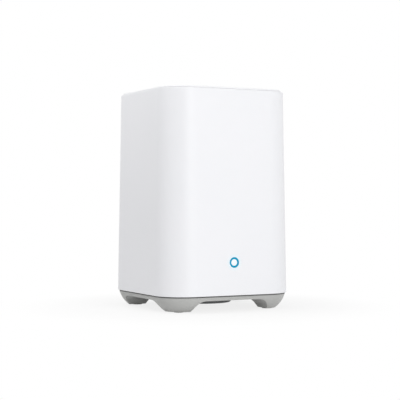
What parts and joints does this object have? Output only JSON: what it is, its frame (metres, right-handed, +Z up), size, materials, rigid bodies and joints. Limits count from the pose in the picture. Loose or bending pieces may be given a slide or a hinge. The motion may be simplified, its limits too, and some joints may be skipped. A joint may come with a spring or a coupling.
{
  "type": "security camera base station",
  "caption": "Tall white hub with leaning walls, round corners and a ring light, on a grey base with feet; sockets, card slot and sync button behind a rear window, siren below.",
  "frame": {"origin": "on the floor at the centre of the footprint, under the middle of the case", "axes": "+Z up, -Y towards the front with the ring light, +X to the right as seen from the front"},
  "size_m": [0.09, 0.09, 0.1374],
  "materials": {
    "white_plastic": "fine satin moulding",
    "grey_plastic": "matte moulding",
    "panel_plastic": "matte moulding",
    "button_plastic": "satin moulding",
    "black_plastic": "matte moulding",
    "light_plastic": "clear diffuser, lit from behind",
    "indicator_plastic": "clear lamp",
    "pad_rubber": "matte",
    "foam": "soft foam",
    "steel": "zinc plated",
    "shield_metal": "tin plated sheet",
    "gold": "gold plated",
    "copper": "enamelled copper",
    "board": "solder mask over glass epoxy",
    "chip": "moulded epoxy",
    "heat_sink_metal": "extruded, clear anodised",
    "pad_sheet": "soft gap filler",
    "chassis_plastic": "matte moulding",
    "magnet_metal": "nickel plated",
    "cone_plastic": "thin pressed film",
    "cell_wrap": "shrink sleeve over a steel can",
    "strap_fabric": "woven band",
    "lead_plastic": "flexible insulation",
    "card_plastic": "moulded epoxy"
  },
  "bodies": {
    "case": {"outer_shell": "white_plastic", "top_cap": "white_plastic", "base": "grey_plastic", "foot_pads": "pad_rubber", "base_screws": "steel", "port_panel": "panel_plastic", "panel_screws": "steel", "status_light_guide": "light_plastic", "status_light_core": "white_plastic", "light_board": "board", "light_emitters": "indicator_plastic", "light_board_screws": "steel", "light_lead": "lead_plastic", "sync_switch": "black_plastic", "reset_switch": "black_plastic", "microsd_socket": "shield_metal", "ethernet_shell": "shield_metal", "ethernet_insert": "black_plastic", "ethernet_contacts": "gold", "ethernet_lights": "indicator_plastic", "usb_shell": "shield_metal", "usb_tongue": "black_plastic", "usb_contacts": "gold", "power_jack": "black_plastic", "power_jack_pin": "shield_metal", "main_board": "board", "board_screws": "steel", "chassis": "chassis_plastic", "chassis_screws": "steel", "processor": "chip", "thermal_pad": "pad_sheet", "heat_sink": "heat_sink_metal", "memory_chips": "chip", "radio_shields": "shield_metal", "ethernet_transformer": "chip", "power_parts": "chip", "lead_sockets": "button_plastic", "siren_cover": "grey_plastic", "siren_gasket": "foam", "siren_frame": "shield_metal", "siren_yoke": "shield_metal", "siren_magnet": "magnet_metal", "siren_pole": "shield_metal", "siren_clamp": "chassis_plastic", "siren_screws": "steel", "siren_lead": "lead_plastic", "battery_cell": "cell_wrap", "battery_cradle": "chassis_plastic", "battery_contacts": "shield_metal", "battery_straps": "strap_fabric", "battery_leads": "lead_plastic", "antennas": "gold", "antenna_leads": "lead_plastic"},
    "sync_button": {"sync_button": "button_plastic"},
    "sync_plunger": {"sync_switch_plunger": "black_plastic"},
    "reset_plunger": {"reset_switch_plunger": "black_plastic"},
    "memory_card": {"microsd_card": "card_plastic"},
    "siren_diaphragm": {"siren_cone": "cone_plastic", "siren_coil": "copper"}
  },
  "joints": [
    {"name": "sync_button_press", "type": "slide", "parent": "case", "child": "sync_button", "axis": [0, -1, 0], "range_m": [0, 0.0003], "stiffness_N_per_m": 5000},
    {"name": "sync_plunger_press", "type": "slide", "parent": "case", "child": "sync_plunger", "axis": [0, -1, 0], "range_m": [0, 0.0003]},
    {"name": "reset_press", "type": "slide", "parent": "case", "child": "reset_plunger", "axis": [0, -1, 0], "range_m": [0, 0.00025], "stiffness_N_per_m": 5000},
    {"name": "memory_card_slide", "type": "slide", "parent": "case", "child": "memory_card", "axis": [0, 1, 0], "range_m": [-0.0006, 0.02]},
    {"name": "siren_stroke", "type": "slide", "parent": "case", "child": "siren_diaphragm", "axis": [0, 0, 1], "range_m": [-0.0003, 0.0003], "stiffness_N_per_m": 5000}
  ],
  "couplings": [
    {"joint": "sync_plunger_press", "follows": "sync_button_press", "ratio": 1}
  ]
}
